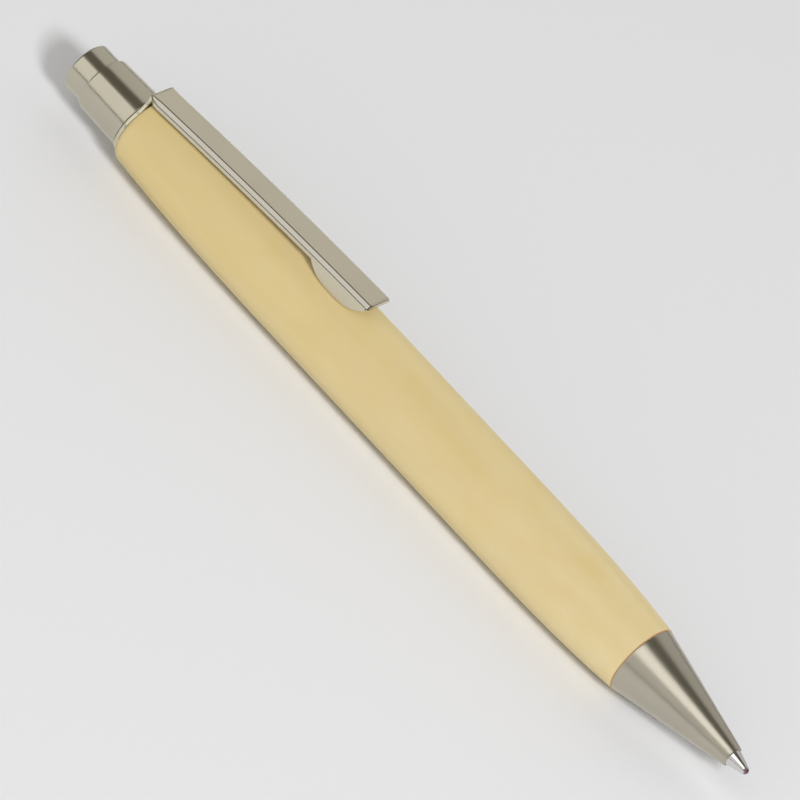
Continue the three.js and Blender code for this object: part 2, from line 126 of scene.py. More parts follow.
class BarrelSettings(bpy.types.PropertyGroup):
    """Sizes and colours of the wooden barrel."""

    rear_taper: bpy.props.FloatProperty(
        name="Rear Taper", description="Length over which the rear narrows",
        default=36 * MM, unit="LENGTH"
    )
    front_taper: bpy.props.FloatProperty(
        name="Front Taper", description="Length over which the front narrows",
        default=28.35 * MM, unit="LENGTH"
    )
    rear_radius: bpy.props.FloatProperty(
        name="Rear Radius", description="Radius that the rear taper heads for",
        default=5.5 * MM, unit="LENGTH"
    )
    front_radius: bpy.props.FloatProperty(
        name="Front Radius", description="Radius at the nose cone", default=5.55 * MM, unit="LENGTH"
    )
    shoulder: bpy.props.FloatProperty(
        name="Shoulder", description="Length of the rounded rear edge", default=1.2 * MM, unit="LENGTH"
    )
    pale: bpy.props.FloatVectorProperty(
        name="Pale Wood", description="Colour of the lightest wood",
        default=(0.650, 0.532, 0.264), subtype="COLOR"
    )
    front: bpy.props.FloatVectorProperty(
        name="Front Wood", description="Paler colour that the wood drifts to towards its front end",
        default=(0.698, 0.590, 0.350), subtype="COLOR"
    )
    deep: bpy.props.FloatVectorProperty(
        name="Deep Wood", description="Colour of the figure's darker patches",
        default=(0.658, 0.530, 0.245), subtype="COLOR"
    )
    warm: bpy.props.FloatVectorProperty(
        name="Warm Wood", description="Colour of the warmer patches",
        default=(0.660, 0.524, 0.235), subtype="COLOR"
    )
    grain: bpy.props.FloatVectorProperty(
        name="Grain", description="Colour of the fine grain lines",
        default=(0.56, 0.41, 0.18), subtype="COLOR"
    )
    # The edge colour darkens the wood to an orange-brown over its rounded front rim, in its last fraction
    # of a millimetre next to the cone.
    edge: bpy.props.FloatVectorProperty(
        name="Edge", description="Colour of the end grain at the front edge",
        default=(0.42, 0.20, 0.07), subtype="COLOR"
    )


class MetalSettings(bpy.types.PropertyGroup):
    """Colours and roughness of the metal finishes."""

    satin: bpy.props.FloatVectorProperty(
        name="Satin Nickel", description="Colour of the nose cone",
        default=(0.535, 0.498, 0.415), subtype="COLOR"
    )
    sleeve: bpy.props.FloatVectorProperty(
        name="Warm Nickel", description="Colour of the sleeve and the button",
        default=(0.593, 0.558, 0.45), subtype="COLOR"
    )
    clip: bpy.props.FloatVectorProperty(
        name="Clip Nickel", description="Colour of the clip", default=(0.73, 0.683, 0.54), subtype="COLOR"
    )
    chamfer: bpy.props.FloatVectorProperty(
        name="Chamfer", description="Colour of the clip's cut edges",
        default=(0.61, 0.58, 0.50), subtype="COLOR"
    )
    # Painted shade: the dark strips beside the clip's cut edges stand for the shade of small grooves there.
    line: bpy.props.FloatVectorProperty(
        name="Edge Line", description="Colour of the lines beside the clip's cut edges",
        default=(0.15, 0.13, 0.10), subtype="COLOR"
    )
    polished: bpy.props.FloatVectorProperty(
        name="Polished Steel", description="Colour of the polished point",
        default=(0.74, 0.72, 0.71), subtype="COLOR"
    )
    brass: bpy.props.FloatVectorProperty(
        name="Brass", description="Colour of the brass inside", default=(0.72, 0.49, 0.17), subtype="COLOR"
    )
    steel: bpy.props.FloatVectorProperty(
        name="Steel", description="Colour of the spring and the refill",
        default=(0.56, 0.57, 0.58), subtype="COLOR"
    )
    cone_roughness: bpy.props.FloatProperty(
        name="Cone Roughness", description="Roughness of the nose cone", default=0.28, subtype="FACTOR"
    )
    sleeve_roughness: bpy.props.FloatProperty(
        name="Sleeve Roughness", description="Roughness of the sleeve and the button",
        default=0.19, subtype="FACTOR"
    )
    clip_roughness: bpy.props.FloatProperty(
        name="Clip Roughness", description="Roughness of the clip's flat faces",
        default=0.23, subtype="FACTOR"
    )
    polished_roughness: bpy.props.FloatProperty(
        name="Polished Roughness", description="Roughness of the polished point",
        default=0.1, subtype="FACTOR"
    )
    inside_roughness: bpy.props.FloatProperty(
        name="Inside Roughness", description="Roughness of the metal inside", default=0.3, subtype="FACTOR"
    )


class ClipSettings(bpy.types.PropertyGroup):
    """Sizes of the clip."""

    top_width: bpy.props.FloatProperty(
        name="Top Width", description="Width of the clip's flat top", default=3.68 * MM, unit="LENGTH"
    )
    chamfer: bpy.props.FloatProperty(
        name="Chamfer", description="Width of each cut edge", default=0.62 * MM, unit="LENGTH"
    )
    chamfer_start: bpy.props.FloatProperty(
        name="Chamfer Start", description="Length over which each cut edge opens",
        default=1.6 * MM, unit="LENGTH"
    )
    # The upper and lower widths below are those of the painted shade strips beside each cut edge.
    upper_edge_shade: bpy.props.FloatProperty(
        name="Upper Line", description="Width of the dark line above each cut edge",
        default=0.11 * MM, unit="LENGTH"
    )
    lower_edge_shade: bpy.props.FloatProperty(
        name="Lower Line", description="Width of the dark line below each cut edge",
        default=0.08 * MM, unit="LENGTH"
    )
    thickness: bpy.props.FloatProperty(
        name="Thickness", description="Thickness of the bar", default=1.2 * MM, unit="LENGTH"
    )
    front_thickness: bpy.props.FloatProperty(
        name="Front Thickness", description="Thickness of the bar at its front end",
        default=0.8 * MM, unit="LENGTH"
    )
    bow: bpy.props.FloatProperty(
        name="Bow", description="Rise of the bar's middle above a straight line",
        default=0.28 * MM, unit="LENGTH"
    )
    bend: bpy.props.FloatProperty(
        name="Bend Radius", description="Outer radius where neck turns into bar",
        default=0.9 * MM, unit="LENGTH"
    )
    neck_inset: bpy.props.FloatProperty(
        name="Neck Inset", description="How much narrower the neck is than the bar on each side",
        default=0.48 * MM, unit="LENGTH"
    )
    corner_gap: bpy.props.FloatProperty(
        name="Corner Gap", description="Length of the bend that keeps the neck's width",
        default=0.08 * MM, unit="LENGTH"
    )
    fillet: bpy.props.FloatProperty(
        name="Fillet", description="Radius where the ring widens into the neck",
        default=3.4 * MM, unit="LENGTH"
    )
    rim: bpy.props.FloatProperty(
        name="Rim", description="Rounding of the ring's and the neck's rims",
        default=0.06 * MM, unit="LENGTH"
    )
    front_round: bpy.props.FloatProperty(
        name="Front Rounding", description="Rounding of the front end's corners",
        default=0.4 * MM, unit="LENGTH"
    )
    rest_gap: bpy.props.FloatProperty(
        name="Rest Gap", description="Space between foot and wood", default=0.03 * MM, unit="LENGTH"
    )


class StageSettings(bpy.types.PropertyGroup):
    """Floor, light from all round and camera."""

    floor: bpy.props.FloatVectorProperty(
        name="Floor", description="Colour of the floor", default=(0.868, 0.877, 0.905), subtype="COLOR"
    )
    surround: bpy.props.FloatVectorProperty(
        name="Surround", description="Colour of the light from all round",
        default=(1.0, 0.92, 0.75), subtype="COLOR"
    )
    surround_strength: bpy.props.FloatProperty(
        name="Surround Strength", description="Strength of the light from all round", default=0.13, min=0
    )
    lens: bpy.props.FloatProperty(
        name="Lens", description="Focal length of the camera in millimetres", default=429.466, min=1
    )


class Value:
    """A socket that can be used in sums."""

    def __init__(self, nodes, socket):
        self.nodes = nodes
        self.socket = socket

    def sum(self, operation, first, second):
        """A Math node's result for two values or numbers."""
        return self.nodes.add("ShaderNodeMath", {"operation": operation}, {0: first, 1: second})

    def __add__(self, other):
        return self.sum("ADD", self, other)

    __radd__ = __add__

    def __sub__(self, other):
        return self.sum("SUBTRACT", self, other)

    def __rsub__(self, other):
        return self.sum("SUBTRACT", other, self)

    def __mul__(self, other):
        return self.sum("MULTIPLY", self, other)

    __rmul__ = __mul__


class Nodes:
    """The node tree of one material."""

    def __init__(self, name):
        self.material = bpy.data.materials.new(name)
        self.material.use_nodes = True
        self.tree = self.material.node_tree
        self.shader = self.tree.nodes["Principled BSDF"]

    def add(self, kind, settings=None, values=None, output=0):
        """A node with its settings made first and then its sockets' values or links."""
        node = self.tree.nodes.new(kind)
        for key, setting in (settings or {}).items():
            if key == "stops":
                self.set_stops(node.color_ramp, setting)
            else:
                setattr(node, key, setting)
        for key, value in (values or {}).items():
            self.feed(node.inputs[key], value)
        return Value(self, node.outputs[output])

    def feed(self, socket, value):
        """Links a value to a socket, or sets a constant on it."""
        if isinstance(value, Value):
            self.tree.links.new(value.socket, socket)
        else:
            socket.default_value = value

    def set_stops(self, ramp, stops):
        """Gives the two ends of a ramp their places and grey levels."""
        for element, (place, level) in zip(ramp.elements, stops):
            element.position = place
            element.color = (level, level, level, 1.0)

    def surface(self, **values):
        """Feeds the shader's sockets, named with underscores for spaces."""
        for key, value in values.items():
            self.feed(self.shader.inputs[key.replace("_", " ")], value)

    def place(self, centre, scale, turn=(0, 0, 0)):
        """Object coordinates, turned, measured from a centre and then scaled to features per metre."""
        spot = self.add("ShaderNodeTexCoord", output="Object")
        moved = self.add(
            "ShaderNodeMapping",
            {"vector_type": "POINT"},
            {"Vector": spot, "Location": tuple(-c for c in centre), "Rotation": turn},
        )
        return self.add("ShaderNodeVectorMath", {"operation": "MULTIPLY"}, {0: moved, 1: scale})

    def along(self, station):
        """Distance along the pen, counted from a station."""
        place = self.place((station, 0, 0), (1, 1, 1))
        return self.add("ShaderNodeSeparateXYZ", {}, {"Vector": place}, output="X")

    def noise(self, place, detail=3.0, roughness=0.5, distortion=0.0):
        """Soft noise between 0 and 1."""
        values = {"Detail": detail, "Roughness": roughness, "Distortion": distortion}
        return self.add("ShaderNodeTexNoise", {}, {"Vector": place, "Scale": 1.0, **values})

    def rings(self, place, distortion):
        """Curved lines like growth rings cut lengthways."""
        return self.add(
            "ShaderNodeTexWave",
            {"wave_type": "RINGS", "rings_direction": "X"},
            {"Vector": place, "Scale": 1.0, "Distortion": distortion, "Detail": 2.0, "Detail Scale": 0.8},
            output="Fac",
        )

    def ramp(self, value, low, high):
        """Zero below a low value, one above a high value and a straight rise between them."""
        return self.add("ShaderNodeValToRGB", {"stops": [(low, 0.0), (high, 1.0)]}, {"Fac": value})

    def mix(self, factor, first, second):
        """The first colour at a factor of 0 and the second at 1."""
        return self.add("ShaderNodeMix", {"data_type": "RGBA"}, {0: factor, 6: first, 7: second}, output=2)

    def bump(self, height, strength, distance):
        """The surface's normal, tilted by a height pattern."""
        values = {"Height": height, "Strength": strength, "Distance": distance}
        return self.add("ShaderNodeBump", {}, values, output="Normal")


def opaque(colour, level=1.0):
    """A colour with full alpha, darkened to a level."""
    return (*(c * level for c in colour), 1.0)


def axis_point(station=0.0):
    """The point of the pen's axis at a station."""
    return Vector((station, 0.0, AXIS_HEIGHT))


def maple(settings):
    """Pale maple with a soft figure, fine grain along the pen and a satin finish."""
    nodes = Nodes("maple")
    centre = axis_point()
    figure = nodes.noise(nodes.place(centre, (60, 150, 150)), detail=2.0, distortion=0.6)
    patches = nodes.noise(nodes.place(centre, (220, 330, 330), turn=(0, 0, 0.5)))
    blush = nodes.noise(nodes.place(centre, (95, 180, 180), turn=(0.4, 0, 0.3)), distortion=0.4)
    arcs = nodes.rings(nodes.place(centre, (16, 60, 60), turn=(0.9, 0.12, 0.05)), distortion=7.0)
    lines = nodes.noise(nodes.place(centre, (90, 2600, 2600)), detail=4.0, roughness=0.6)
    pores = nodes.noise(nodes.place(centre, (700, 5200, 5200)), detail=2.0)

    drift_start = -64.3 * MM
    drift_length = 142.9 * MM
    toward_front = nodes.ramp(nodes.along(drift_start) * (1 / drift_length), 0.0, 1.0)
    pale = nodes.mix(toward_front, opaque(settings.pale), opaque(settings.front))
    deep = nodes.mix(toward_front * 0.6, opaque(settings.deep), opaque(settings.front))
    body = nodes.mix(nodes.ramp(figure * 0.5 + patches * 0.5, 0.38, 0.6), deep, pale)

    fleck = nodes.ramp(pores, 0.68, 0.78)
    # Darker orange-brown over the wood's rounded front rim, next to the cone.
    edge_band = 0.5 * MM
    from_edge = nodes.along(barrel_high.x - edge_band / 2) * (1 / edge_band)
    layers = (
        (nodes.ramp(blush, 0.52, 0.72), 0.5, settings.warm),
        (nodes.ramp(arcs, 0.86, 1.0), 0.1, settings.grain),
        (nodes.ramp(lines, 0.3, 0.75), 0.08, settings.grain),
        (fleck, 0.08, settings.grain),
        (nodes.ramp(from_edge, 0.06, 0.3), 0.8, settings.edge),
    )
    for mask, strength, colour in layers:
        body = nodes.mix(mask * strength, body, opaque(colour))
    nodes.surface(
        Base_Color=body,
        Roughness=0.5 + 0.12 * lines,
        Normal=nodes.bump(lines * 0.6 - fleck * 0.5, 0.25, 0.02 * MM),
        IOR=1.45,
        Diffuse_Roughness=0.8,
    )
    return nodes.material


def satin_metal(name, colour, roughness, scale, centre, strength=0.08):
    """Satin metal with fine marks along the axis that has the least scale. On an even scale they have no
    direction."""
    nodes = Nodes(name)
    marks = nodes.noise(nodes.place(centre, scale))
    cloud = nodes.noise(nodes.place(centre, (130, 130, 130)), detail=2.0)
    nodes.surface(
        Base_Color=nodes.mix(nodes.ramp(cloud, 0.3, 0.7), opaque(colour, 0.955), opaque(colour)),
        Roughness=roughness - 0.03 + 0.06 * marks + 0.03 * cloud,
        Metallic=1.0,
        Normal=nodes.bump(marks, strength, 0.01 * MM),
    )
    return nodes.material


def turned_metal(name, colour, roughness, strength=0.08):
    """Metal from a lathe, with marks round the pen's axis."""
    return satin_metal(name, colour, roughness, (9000, 250, 250), axis_point(), strength)


def moulded_plastic(name, colour):
    """Plain plastic with a fine even grain."""
    nodes = Nodes(name)
    grain = nodes.noise(nodes.place(axis_point(), (2500, 2500, 2500)), detail=2.0)
    nodes.surface(
        Base_Color=nodes.mix(grain, opaque(colour, 0.9), opaque(colour)),
        Roughness=0.42 + 0.12 * grain,
        Normal=nodes.bump(grain, 0.1, 0.01 * MM),
    )
    return nodes.material


def ink_stained_steel():
    """The ball, with a film of violet ink."""
    steel = (0.42, 0.30, 0.36)
    ink = (0.16, 0.04, 0.10)
    nodes = Nodes("inked_ball")
    film = nodes.noise(nodes.place(axis_point(ball_high.x), (2500, 2500, 2500)), detail=2.0)
    nodes.surface(
        Base_Color=nodes.mix(nodes.ramp(film, 0.35, 0.6), opaque(steel), opaque(ink)),
        Roughness=0.18 + 0.1 * film,
        Metallic=0.75,
    )
    return nodes.material


def with_guard_points(outline, margin):
    """The outline with a point near each end of a long stretch, so rounded rims don't tilt the shading."""
    guarded = [outline[0]]
    for first, last in zip(outline, outline[1:]):
        start, end = Vector(first), Vector(last)
        length = (end - start).length
        if length > 3 * margin:
            guarded.append(tuple(start.lerp(end, margin / length)))
            guarded.append(tuple(end.lerp(start, margin / length)))
        guarded.append(last)
    return guarded


def turned(outline, steps=ROUND_STEPS):
    """A mesh spun round the pen's axis from stations and radii that close on themselves or on the axis."""
    mesh = bmesh.new()
    points = [
        mesh.verts.new((station, 0.0, AXIS_HEIGHT + radius))
        for station, radius in with_guard_points(outline, GUARD_MARGIN)
    ]
    for first, second in zip(points, points[1:]):
        mesh.edges.new((first, second))
    if outline[0][1] > 0:
        mesh.edges.new((points[-1], points[0]))
    bmesh.ops.spin(
        mesh,
        geom=mesh.verts[:] + mesh.edges[:],
        cent=axis_point(),
        axis=(1, 0, 0),
        angle=2 * math.pi,
        steps=steps,
        use_merge=True,
    )
    bmesh.ops.remove_doubles(mesh, verts=mesh.verts, dist=MERGE_DISTANCE)
    bmesh.ops.dissolve_degenerate(mesh, edges=mesh.edges, dist=MERGE_DISTANCE)
    bmesh.ops.recalc_face_normals(mesh, faces=mesh.faces)
    return mesh


def radius_of(point):
    """Distance of a point from the pen's axis."""
    return math.hypot(point.y, point.z - AXIS_HEIGHT)


def round_rim(mesh, station, radius, size, segments=3):
    """Rounds the rim at one station and radius."""
    near = 0.004 * MM
    rim = [
        edge
        for edge in mesh.edges
        if all(abs(v.co.x - station) < near and abs(radius_of(v.co) - radius) < near for v in edge.verts)
    ]
    if not rim:
        raise RuntimeError(f"no rim at station {station / MM:.3f} mm, radius {radius / MM:.3f} mm")
    bmesh.ops.bevel(
        mesh, geom=rim, offset=size, offset_type="OFFSET", affect="EDGES", segments=segments, profile=0.5,
        material=-1, clamp_overlap=True
    )


def join_rows(mesh, rows):
    """Faces between each row of points and the next one, where every row closes on itself."""
    faces = []
    for first, second in zip(rows, rows[1:]):
        for i in range(len(first)):
            j = (i + 1) % len(first)
            faces.append(mesh.faces.new((first[i], first[j], second[j], second[i])))
    return faces


def make_object(mesh, name, materials):
    """Turns a bmesh into an object with smooth faces and crisp edges."""
    for face in mesh.faces:
        face.smooth = True
    for edge in mesh.edges:
        edge.smooth = edge.calc_face_angle(0.0) < SHARP_ANGLE
    data = bpy.data.meshes.new(name)
    mesh.to_mesh(data)
    mesh.free()
    for material in materials:
        data.materials.append(material)
    piece = bpy.data.objects.new(name, data)
    bpy.context.scene.collection.objects.link(piece)
    return piece


def add_piece(mesh, name, materials, body, slot, *nodes):
    """A finished piece that rides on a body and stands for CAD nodes."""
    piece = make_object(mesh, name, materials)
    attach(piece, body)
    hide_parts(*nodes)
    return piece


def barrel_radius(settings, distance):
    """Radius of the barrel at a distance from its rear end."""
    if distance < settings.rear_taper:
        share = (settings.rear_taper - distance) / settings.rear_taper
        return BARREL_RADIUS - (BARREL_RADIUS - settings.rear_radius) * share**REAR_CURVE
    from_front = BARREL_LENGTH - distance
    if from_front < settings.front_taper:
        share = (settings.front_taper - from_front) / settings.front_taper
        return BARREL_RADIUS - (BARREL_RADIUS - settings.front_radius) * share**FRONT_CURVE
    return BARREL_RADIUS


class PEN_OT_barrel(bpy.types.Operator):
    """Turn the wooden barrel"""

    bl_idname = "pen.barrel"
    bl_label = "Wooden Barrel"

    def execute(self, context):
        settings = context.scene.pen_barrel
        rear = barrel_low.x
        shoulder_drop = 0.58 * MM
        shoulder_radius = barrel_radius(settings, settings.shoulder)
        shoulder_steps = 10
        front_rim = 0.2 * MM
        outline = [(rear, BORE_RADIUS)]
        for i in range(shoulder_steps + 1):
            angle = i / shoulder_steps * math.pi / 2
            outline.append(
                (
                    rear + settings.shoulder * (1 - math.cos(angle)),
                    shoulder_radius - shoulder_drop * (1 - math.sin(angle)),
                )
            )
        stations = 90
        length = BARREL_LENGTH - settings.shoulder
        for i in range(1, stations + 1):
            distance = settings.shoulder + length * i / stations
            outline.append((rear + distance, barrel_radius(settings, distance)))
        outline.append((barrel_high.x, BORE_RADIUS))
        mesh = turned(outline)
        round_rim(mesh, barrel_high.x, settings.front_radius, front_rim, segments=4)
        add_piece(mesh, "turned_barrel", [maple(settings)], "pen_body", "wood", "wooden_barrel")
        return {"FINISHED"}


class PEN_OT_cone(bpy.types.Operator):
    """Turn the nose cone with its threaded spigot"""

    bl_idname = "pen.cone"
    bl_label = "Nose Cone"

    def execute(self, context):
        metal = context.scene.pen_metal
        base = barrel_high.x
        nose = cone_high.x
        base_radius = 5.5 * MM
        base_rim = 0.06 * MM
        nose_radius = 1.6 * MM
        nose_rim = 0.1 * MM
        point_bore = 1.43 * MM
        spigot_radius = 3.56 * MM
        spigot_bore = 3.1 * MM
        spring_bore = 2.75 * MM
        spring_room = 7.5 * MM
        spring_seat = nose - 8 * MM
        outline = [
            (cone_low.x, spigot_bore),
            (cone_low.x, spigot_radius),
            (base, spigot_radius),
            (base, base_radius),
            (nose, nose_radius),
            (nose, point_bore),
            (spring_seat, point_bore),
            (spring_seat, spring_bore),
            (spring_seat - spring_room, spring_bore),
            (spring_seat - spring_room, spigot_bore),
        ]
        mesh = turned(outline)
        round_rim(mesh, base, base_radius, base_rim)
        round_rim(mesh, nose, nose_radius, nose_rim)
        finish = satin_metal(
            "satin_cone", metal.satin, metal.cone_roughness, (2600, 2600, 2600), axis_point(), strength=0.05
        )
        add_piece(mesh, "satin_nose_cone", [finish], "pen_body", "satin_metal", "nose_cone")
        return {"FINISHED"}


class PEN_OT_button(bpy.types.Operator):
    """Turn the button sleeve and the push button"""

    bl_idname = "pen.button"
    bl_label = "Button and Sleeve"

    def execute(self, context):
        metal = context.scene.pen_metal
        finish = turned_metal("satin_sleeve", metal.sleeve, metal.sleeve_roughness)
        button_radius = 3.9 * MM
        self.turn_sleeve(finish, button_radius)
        self.turn_button(finish, button_radius)
        return {"FINISHED"}

    def turn_sleeve(self, finish, button_radius):
        """Tapered sleeve with a groove at its front end and a shoulder inside."""
        rear_radius = 4.35 * MM
        rear_rim = 0.22 * MM
        front_radius = 4.65 * MM
        front_rim = 0.06 * MM
        bore = button_radius + 0.06 * MM
        shoulder = sleeve_high.x - 0.65 * MM
        groove = sleeve_high.x - 0.2 * MM
        groove_radius = front_radius - 0.4 * MM
        sleeve = turned(
            [
                (sleeve_low.x, bore),
                (sleeve_low.x, rear_radius),
                (groove, front_radius),
                (groove, groove_radius),
                (sleeve_high.x, groove_radius),
                (sleeve_high.x, HOLE_RADIUS),
                (shoulder, HOLE_RADIUS),
                (shoulder, bore),
            ]
        )
        round_rim(sleeve, sleeve_low.x, rear_radius, rear_rim, segments=5)
        round_rim(sleeve, groove, front_radius, front_rim)
        add_piece(sleeve, "satin_sleeve", [finish], "pen_body", "satin_metal", "button_sleeve")

    def turn_button(self, finish, radius):
        """Hollow button with a boss inside that holds the plunger's stem."""
        rear_rim = 0.35 * MM
        bore = radius - 0.45 * MM
        end_wall = button_low.x + 0.8 * MM
        boss = 2.1 * MM
        boss_front = button_high.x - 0.4 * MM
        stem_bore = 1.49 * MM
        button = turned(
            [
                (button_low.x, 0.0),
                (button_low.x, radius),
                (button_high.x, radius),
                (button_high.x, bore),
                (end_wall, bore),
                (end_wall, boss),
                (boss_front, boss),
                (boss_front, stem_bore),
                (end_wall, stem_bore),
                (end_wall, 0.0),
            ]
        )
        round_rim(button, button_low.x, radius, rear_rim, segments=6)
        add_piece(button, "satin_button", [finish], "click_slider", "satin_metal", "push_button")


class PEN_OT_point(bpy.types.Operator):
    """Turn the writing point and its ball"""

    bl_idname = "pen.point"
    bl_label = "Point and Ball"

    def execute(self, context):
        metal = context.scene.pen_metal
        radius = 1.4 * MM
        ink_channel = 0.25 * MM
        tail = 0.95 * MM
        shoulder = point_low.x + 5.3 * MM
        taper_start = cone_high.x - 0.1 * MM
        lip = point_high.x
        lip_radius = 0.56 * MM
        lip_rim = 0.06 * MM
        ball_radius = (ball_high.x - ball_low.x) / 2
        ball_centre = (ball_high.x + ball_low.x) / 2
        clearance = 0.03 * MM
        socket_radius = ball_radius + clearance
        socket_floor = ball_centre - ball_radius - clearance
        lip_bore = math.sqrt(ball_radius**2 - (lip - ball_centre) ** 2) + clearance
        outline = [
            (point_low.x, ink_channel),
            (point_low.x, tail),
            (shoulder, tail),
            (shoulder, radius),
            (taper_start, radius),
            (lip, lip_radius),
            (lip, lip_bore),
            (ball_centre, socket_radius),
            (socket_floor, socket_radius),
            (socket_floor, ink_channel),
        ]
        mesh = turned(outline, SMALL_STEPS)
        round_rim(mesh, lip, lip_radius, lip_rim)
        finish = turned_metal("polished_point", metal.polished, metal.polished_roughness, strength=0.03)
        add_piece(mesh, "polished_point", [finish], "click_slider", "polished_metal", "tip_point")

        place = Matrix.Translation(axis_point(ball_centre))
        ball = bmesh.new()
        bmesh.ops.create_uvsphere(ball, u_segments=32, v_segments=20, radius=ball_radius, matrix=place)
        inked = ink_stained_steel()
        add_piece(ball, "inked_ball", [inked], "writing_ball", "polished_metal", "writing_ball")
        return {"FINISHED"}


def clip_top(settings, share):
    """Station and height above the axis of the bar's top, from its rear end at 0 to its front at 1."""
    rear = Vector((RING_REAR + settings.bend, ring_high.z - AXIS_HEIGHT))
    front = Vector((bar_high.x, bar_high.z - AXIS_HEIGHT))
    point = rear.lerp(front, share)
    point.y += 4 * settings.bow * share * (1 - share)
    return point


def arc_points(centre, radius, start, end, steps):
    """Points on an arc, with angles in degrees from +X towards +Z."""
    for i in range(steps + 1):
        angle = math.radians(start + (end - start) * i / steps)
        yield centre + radius * Vector((math.cos(angle), math.sin(angle)))


def curve_points(first, handle, last, steps):
    """Points on a quadratic curve, without its first point."""
    for i in range(1, steps + 1):
        t = i / steps
        yield first * (1 - t) ** 2 + handle * 2 * t * (1 - t) + last * t**2


def foot_outline(settings):
    """Points of the bar's underside from the neck to the front end, foot included."""
    foot_setback = 5.95 * MM
    foot_height = 6.2 * MM
    heel_share = 0.745
    heel_handle = 9.4 * MM
    toe_handle = 2.5 * MM
    bar_steps = 28
    heel_steps = 14
    toe_steps = 16
    depth = Vector((0, settings.thickness))
    front = clip_top(settings, 1)
    toe = front - Vector((0, settings.front_thickness))
    bottom = Vector((front.x - foot_setback, foot_height))
    outline = [clip_top(settings, heel_share * i / bar_steps) - depth for i in range(bar_steps)]
    heel = clip_top(settings, heel_share) - depth
    outline.append(heel)
    outline += curve_points(heel, Vector((front.x - heel_handle, foot_height)), bottom, heel_steps)
    outline += curve_points(bottom, Vector((front.x - toe_handle, foot_height)), toe, toe_steps)
    return outline


def corner_half(settings):
    """Half the bar's width at its rear corners."""
    return settings.top_width / 2 + settings.chamfer / 2


def opening(share):
    """Rises from 0 to 1 on a quarter of a circle while the share goes from 0 to 1."""
    share = min(max(share, 0.0), 1.0)
    return math.sqrt(share * (2 - share))


def corner_inset(settings, station):
    """How far the rounded rear corner draws the side in at a station. It reaches the neck's own inset."""
    share = (station - RING_REAR - settings.corner_gap) / (settings.bend - settings.corner_gap)
    return settings.neck_inset * (1 - opening(share))


def cut_width(settings, station):
    """Width of the cut edge: no more than a rim on the neck, and full soon after the bend's end."""
    bend_share = 0.65
    start = RING_REAR + bend_share * settings.bend
    share = (station - start) / settings.chamfer_start
    return settings.rim + (settings.chamfer - settings.rim) * opening(share)


def plate_outline(settings):
    """Points round the ring and its neck, across and above the axis, each with its outward direction. They
    run from the neck's right top to its left top."""
    radius = ring_high.y
    half = corner_half(settings) - settings.neck_inset
    fillet_steps = 16
    ring_steps = 112
    middle = Vector((half + settings.fillet, 0))
    middle.y = math.sqrt((radius + settings.fillet) ** 2 - middle.x**2)
    touch = math.degrees(math.atan2(middle.y, middle.x))
    right = []
    for point in arc_points(middle, settings.fillet, 180, 180 + touch, fillet_steps):
        right.append((point, (middle - point).normalized()))
    around = []
    for point in arc_points(Vector((0, 0)), radius, touch, -180 - touch, ring_steps):
        around.append((point, point.normalized()))
    left = [(Vector((-p.x, p.y)), Vector((-d.x, d.y))) for p, d in reversed(right)]
    return right + around[1:-1] + left


def plate_row(mesh, station, spots):
    """A row of points at one station, from their places across and above the axis."""
    return [mesh.verts.new((station, spot.x, AXIS_HEIGHT + spot.y)) for spot in spots]


def clip_plate(settings, mesh):
    """The ring and its neck: a flat plate with rounded rims and a round hole."""
    outline = plate_outline(settings)
    rim = settings.rim
    rim_steps = 3
    layers = []
    for i in range(rim_steps, -1, -1):
        angle = i / rim_steps * math.pi / 2
        layers.append((RING_REAR + rim * (1 - math.sin(angle)), rim * (1 - math.cos(angle))))
    layers += [(RING_REAR + RING_FRONT - station, inset) for station, inset in reversed(layers)]
    rows = []
    for station, inset in layers:
        rows.append(plate_row(mesh, station, [point - outward * inset for point, outward in outline]))
    hole = [point.normalized() * HOLE_RADIUS for point, outward in outline]
    rear_hole = plate_row(mesh, RING_REAR, hole)
    front_hole = plate_row(mesh, RING_FRONT, hole)
    join_rows(mesh, [rear_hole] + rows + [front_hole, rear_hole])


def clip_sections(settings):
    """Pairs of outer and inner points from the neck to the bar's front end, with the outward direction."""
    rear = clip_top(settings, 0)
    bend_centre = rear - Vector((0, settings.bend))
    bend_steps = 8
    inner_share = 0.012
    least_step = 0.05 * MM
    root = plate_outline(settings)[0][0].y
    inner_end = clip_top(settings, inner_share) - Vector((0, settings.thickness))
    inner_corner = Vector((RING_FRONT, inner_end.y))
    sections = [(Vector((RING_REAR, root)), Vector((RING_FRONT, root)), Vector((-1, 0)))]
    inner = curve_points(Vector((RING_FRONT, root)), inner_corner, inner_end, bend_steps)
    outer = list(arc_points(bend_centre, settings.bend, 180, 90, bend_steps))
    for top, under in zip(outer[1:], inner):
        sections.append((top, under, (top - bend_centre).normalized()))
    for under in foot_outline(settings):
        if under.x > inner_end.x + least_step:
            share = (under.x - rear.x) / (bar_high.x - rear.x)
            sections.append((clip_top(settings, share), under, Vector((0, 1))))
    return sections


def wood_top(station, across):
    """Height above the axis of the barrel's surface at a distance from the clip's middle."""
    barrel = bpy.context.scene.pen_barrel
    distance = min(max(station - barrel_low.x, barrel.shoulder), BARREL_LENGTH)
    return math.sqrt(barrel_radius(barrel, distance) ** 2 - across**2)


